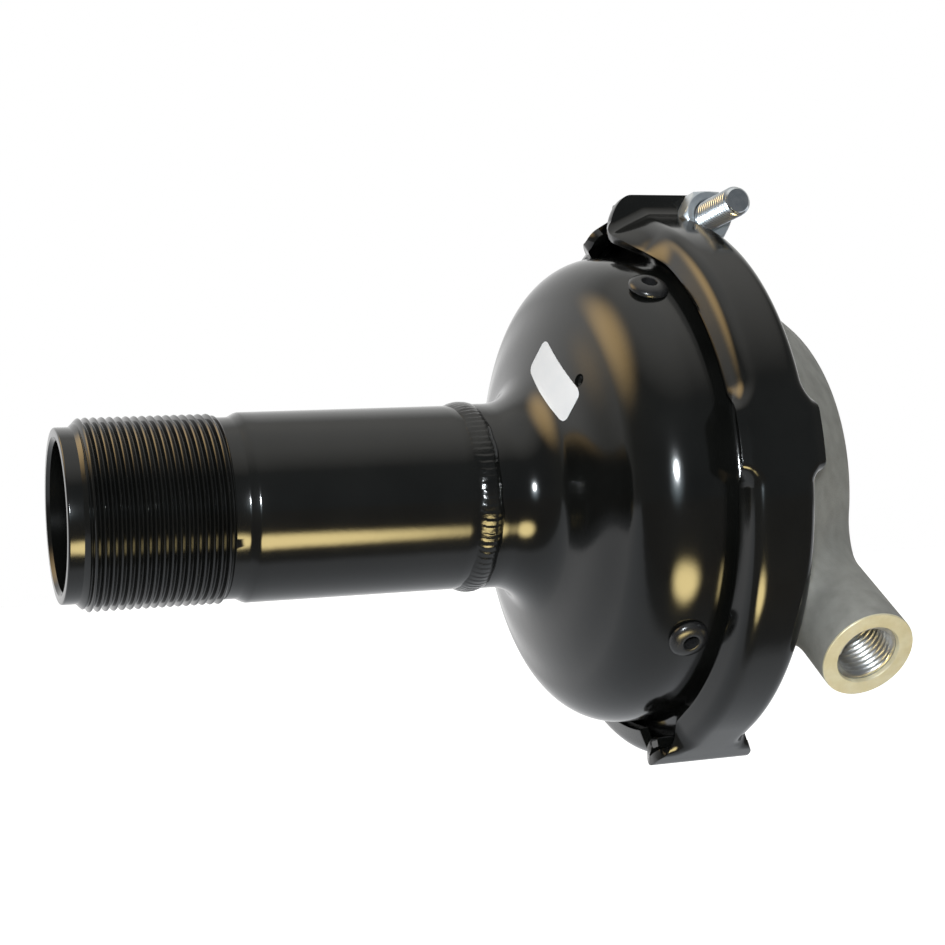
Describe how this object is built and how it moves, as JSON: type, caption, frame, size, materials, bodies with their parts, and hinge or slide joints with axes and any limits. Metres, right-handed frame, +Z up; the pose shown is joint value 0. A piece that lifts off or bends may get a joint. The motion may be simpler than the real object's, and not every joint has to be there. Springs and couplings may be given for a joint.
{
  "type": "diaphragm brake cylinder",
  "caption": "Diaphragm cylinder with a long threaded mounting tube, a drawn steel spring housing, a two-part clamp band and a cast pressure housing with an air port.",
  "frame": {"origin": "on the main axis, at the inner end of the mounting thread on the tube", "axes": "+X along the main axis from the tube's open end to the pressure housing, +Z up with the clamp bolt on top, -Y the side that faces the camera in the picture"},
  "size_m": [0.1992, 0.1458, 0.1516],
  "materials": {
    "gloss_black": "gloss",
    "weld_black": "gloss",
    "cast_grey": "matt cast",
    "zinc": "bright zinc plated",
    "bare_steel": "satin",
    "spring_steel": "oiled",
    "black_rubber": "matt",
    "bush_plastic": "satin",
    "label_white": "satin"
  },
  "bodies": {
    "cylinder": {"threaded_tube": "gloss_black", "weld_bead": "weld_black", "spring_housing": "gloss_black", "vent_plug_upper_front": "black_rubber", "vent_plug_lower_front": "black_rubber", "vent_plug_lower_rear": "black_rubber", "vent_plug_upper_rear": "black_rubber", "label": "label_white", "spring_seat": "zinc", "return_spring": "spring_steel", "guide_bush": "bush_plastic", "rod_seal": "black_rubber", "bush_clip": "spring_steel", "diaphragm": "black_rubber", "pressure_housing": "cast_grey", "clamp_band_front": "gloss_black", "clamp_band_rear": "gloss_black", "clamp_bolt": "zinc", "clamp_nut": "zinc"},
    "push_rod": {"push_rod": "bare_steel", "rod_tip": "bare_steel", "pressure_plate": "zinc", "plate_nut": "zinc"}
  },
  "joints": [
    {"name": "rod_stroke", "type": "slide", "parent": "cylinder", "child": "push_rod", "axis": [-1, 0, 0], "range_m": [0, 0.045], "stiffness_N_per_m": 2000, "springref_m": -0.03, "deforming": ["return_spring", "diaphragm"]}
  ]
}
